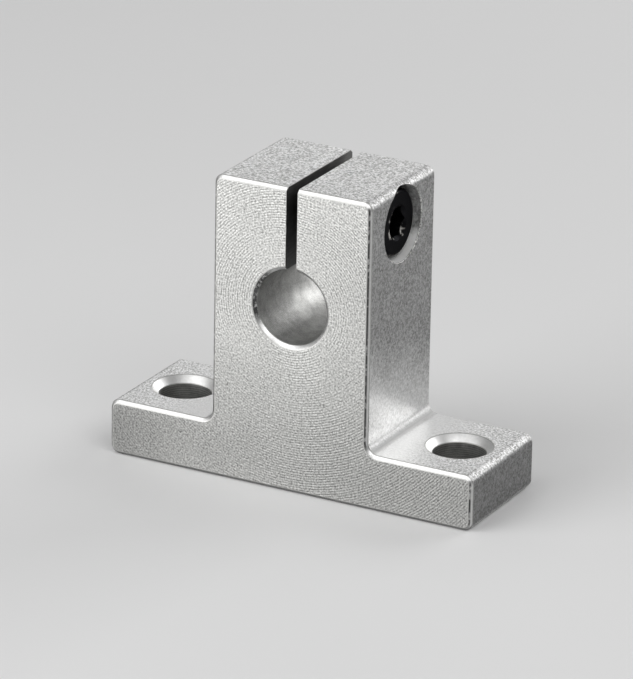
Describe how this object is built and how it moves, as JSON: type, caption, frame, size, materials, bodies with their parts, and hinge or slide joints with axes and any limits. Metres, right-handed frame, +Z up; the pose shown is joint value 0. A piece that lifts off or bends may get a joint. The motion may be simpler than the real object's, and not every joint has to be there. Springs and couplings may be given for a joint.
{
  "type": "shaft support block",
  "caption": "Upright clamp-type end support that holds a round shaft above a flanged base, with a slit pillar closed by a cross screw.",
  "frame": {"origin": "middle of the mounting face, straight below the shaft's axis", "axes": "+X along the base towards the screw's head, +Y along the shaft, +Z up from the mounting face"},
  "size_m": [0.042, 0.014, 0.0328],
  "materials": {
    "blasted_aluminium": "bare aluminium with a fine blasted grain, faint machining marks on the front and bright broken edges",
    "black_steel": "black oxide on an alloy steel screw, lightly oiled"
  },
  "bodies": {
    "block_body": {"block": "blasted_aluminium"},
    "screw_body": {"clamp_screw": "black_steel"}
  },
  "joints": [
    {"name": "clamp_screw_turn", "type": "hinge", "parent": "block_body", "child": "screw_body", "pos_m": [0, 0, 0.0286], "axis": [1, 0, 0], "range_deg": [0, 270]}
  ]
}
